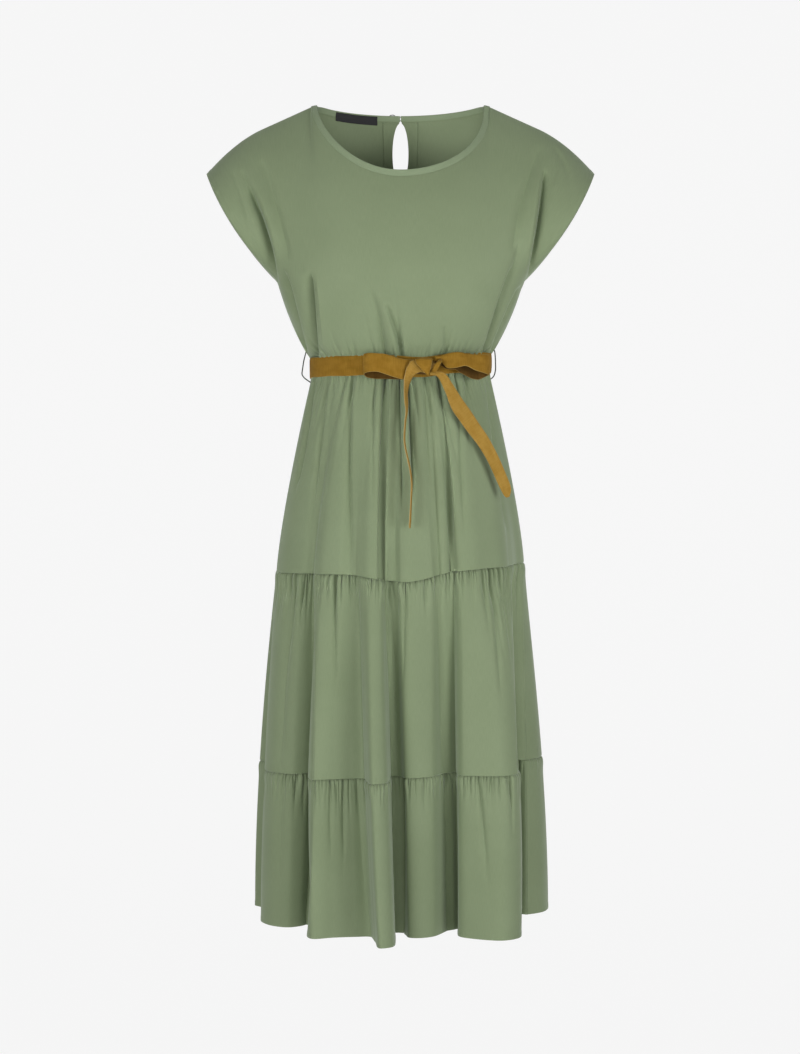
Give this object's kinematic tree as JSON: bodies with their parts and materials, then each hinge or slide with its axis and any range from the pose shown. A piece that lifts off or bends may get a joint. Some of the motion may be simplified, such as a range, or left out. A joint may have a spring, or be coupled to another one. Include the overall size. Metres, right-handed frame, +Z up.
{
  "type": "a-line dress",
  "caption": "Midi dress with cap sleeves, a keyhole at the back neck, a gathered tiered skirt and a flat belt tied in a bow, filled out as worn and hollow.",
  "frame": {"origin": "midway between the two high shoulder points, where the wearer's shoulders hold the dress", "axes": "+Z up along the dress's length, -Y the way the front faces, +X to the right as seen from the front"},
  "size_m": [0.559, 0.4255, 1.1732],
  "materials": {
    "sage_viscose": "fine sage green viscose with a soft sheen",
    "sage_button": "small smooth button dyed to match",
    "sage_thread": "twisted thread chain, darker sage",
    "black_label": "black woven label, left blank",
    "ochre_suede": "ochre suede-like cloth with a fine cross rib and clean cut edges"
  },
  "bodies": {
    "root": {"bodice_front": "sage_viscose", "bodice_back": "sage_viscose", "neck_binding_front": "sage_viscose", "neck_binding_back_left": "sage_viscose", "neck_binding_back_right": "sage_viscose", "keyhole_facing": "sage_viscose", "skirt_tier_1_front": "sage_viscose", "skirt_tier_1_back": "sage_viscose", "skirt_tier_2_front": "sage_viscose", "skirt_tier_2_back": "sage_viscose", "skirt_tier_3_front": "sage_viscose", "skirt_tier_3_back": "sage_viscose", "neck_button": "sage_button", "neck_button_loop": "sage_thread", "belt_carrier_left": "sage_thread", "belt_carrier_right": "sage_thread", "neck_label": "black_label", "belt_band": "ochre_suede", "belt_knot": "ochre_suede", "bow_loop_left": "ochre_suede", "bow_loop_right": "ochre_suede", "belt_tail_left": "ochre_suede", "belt_tail_right": "ochre_suede"}
  },
  "joints": []
}
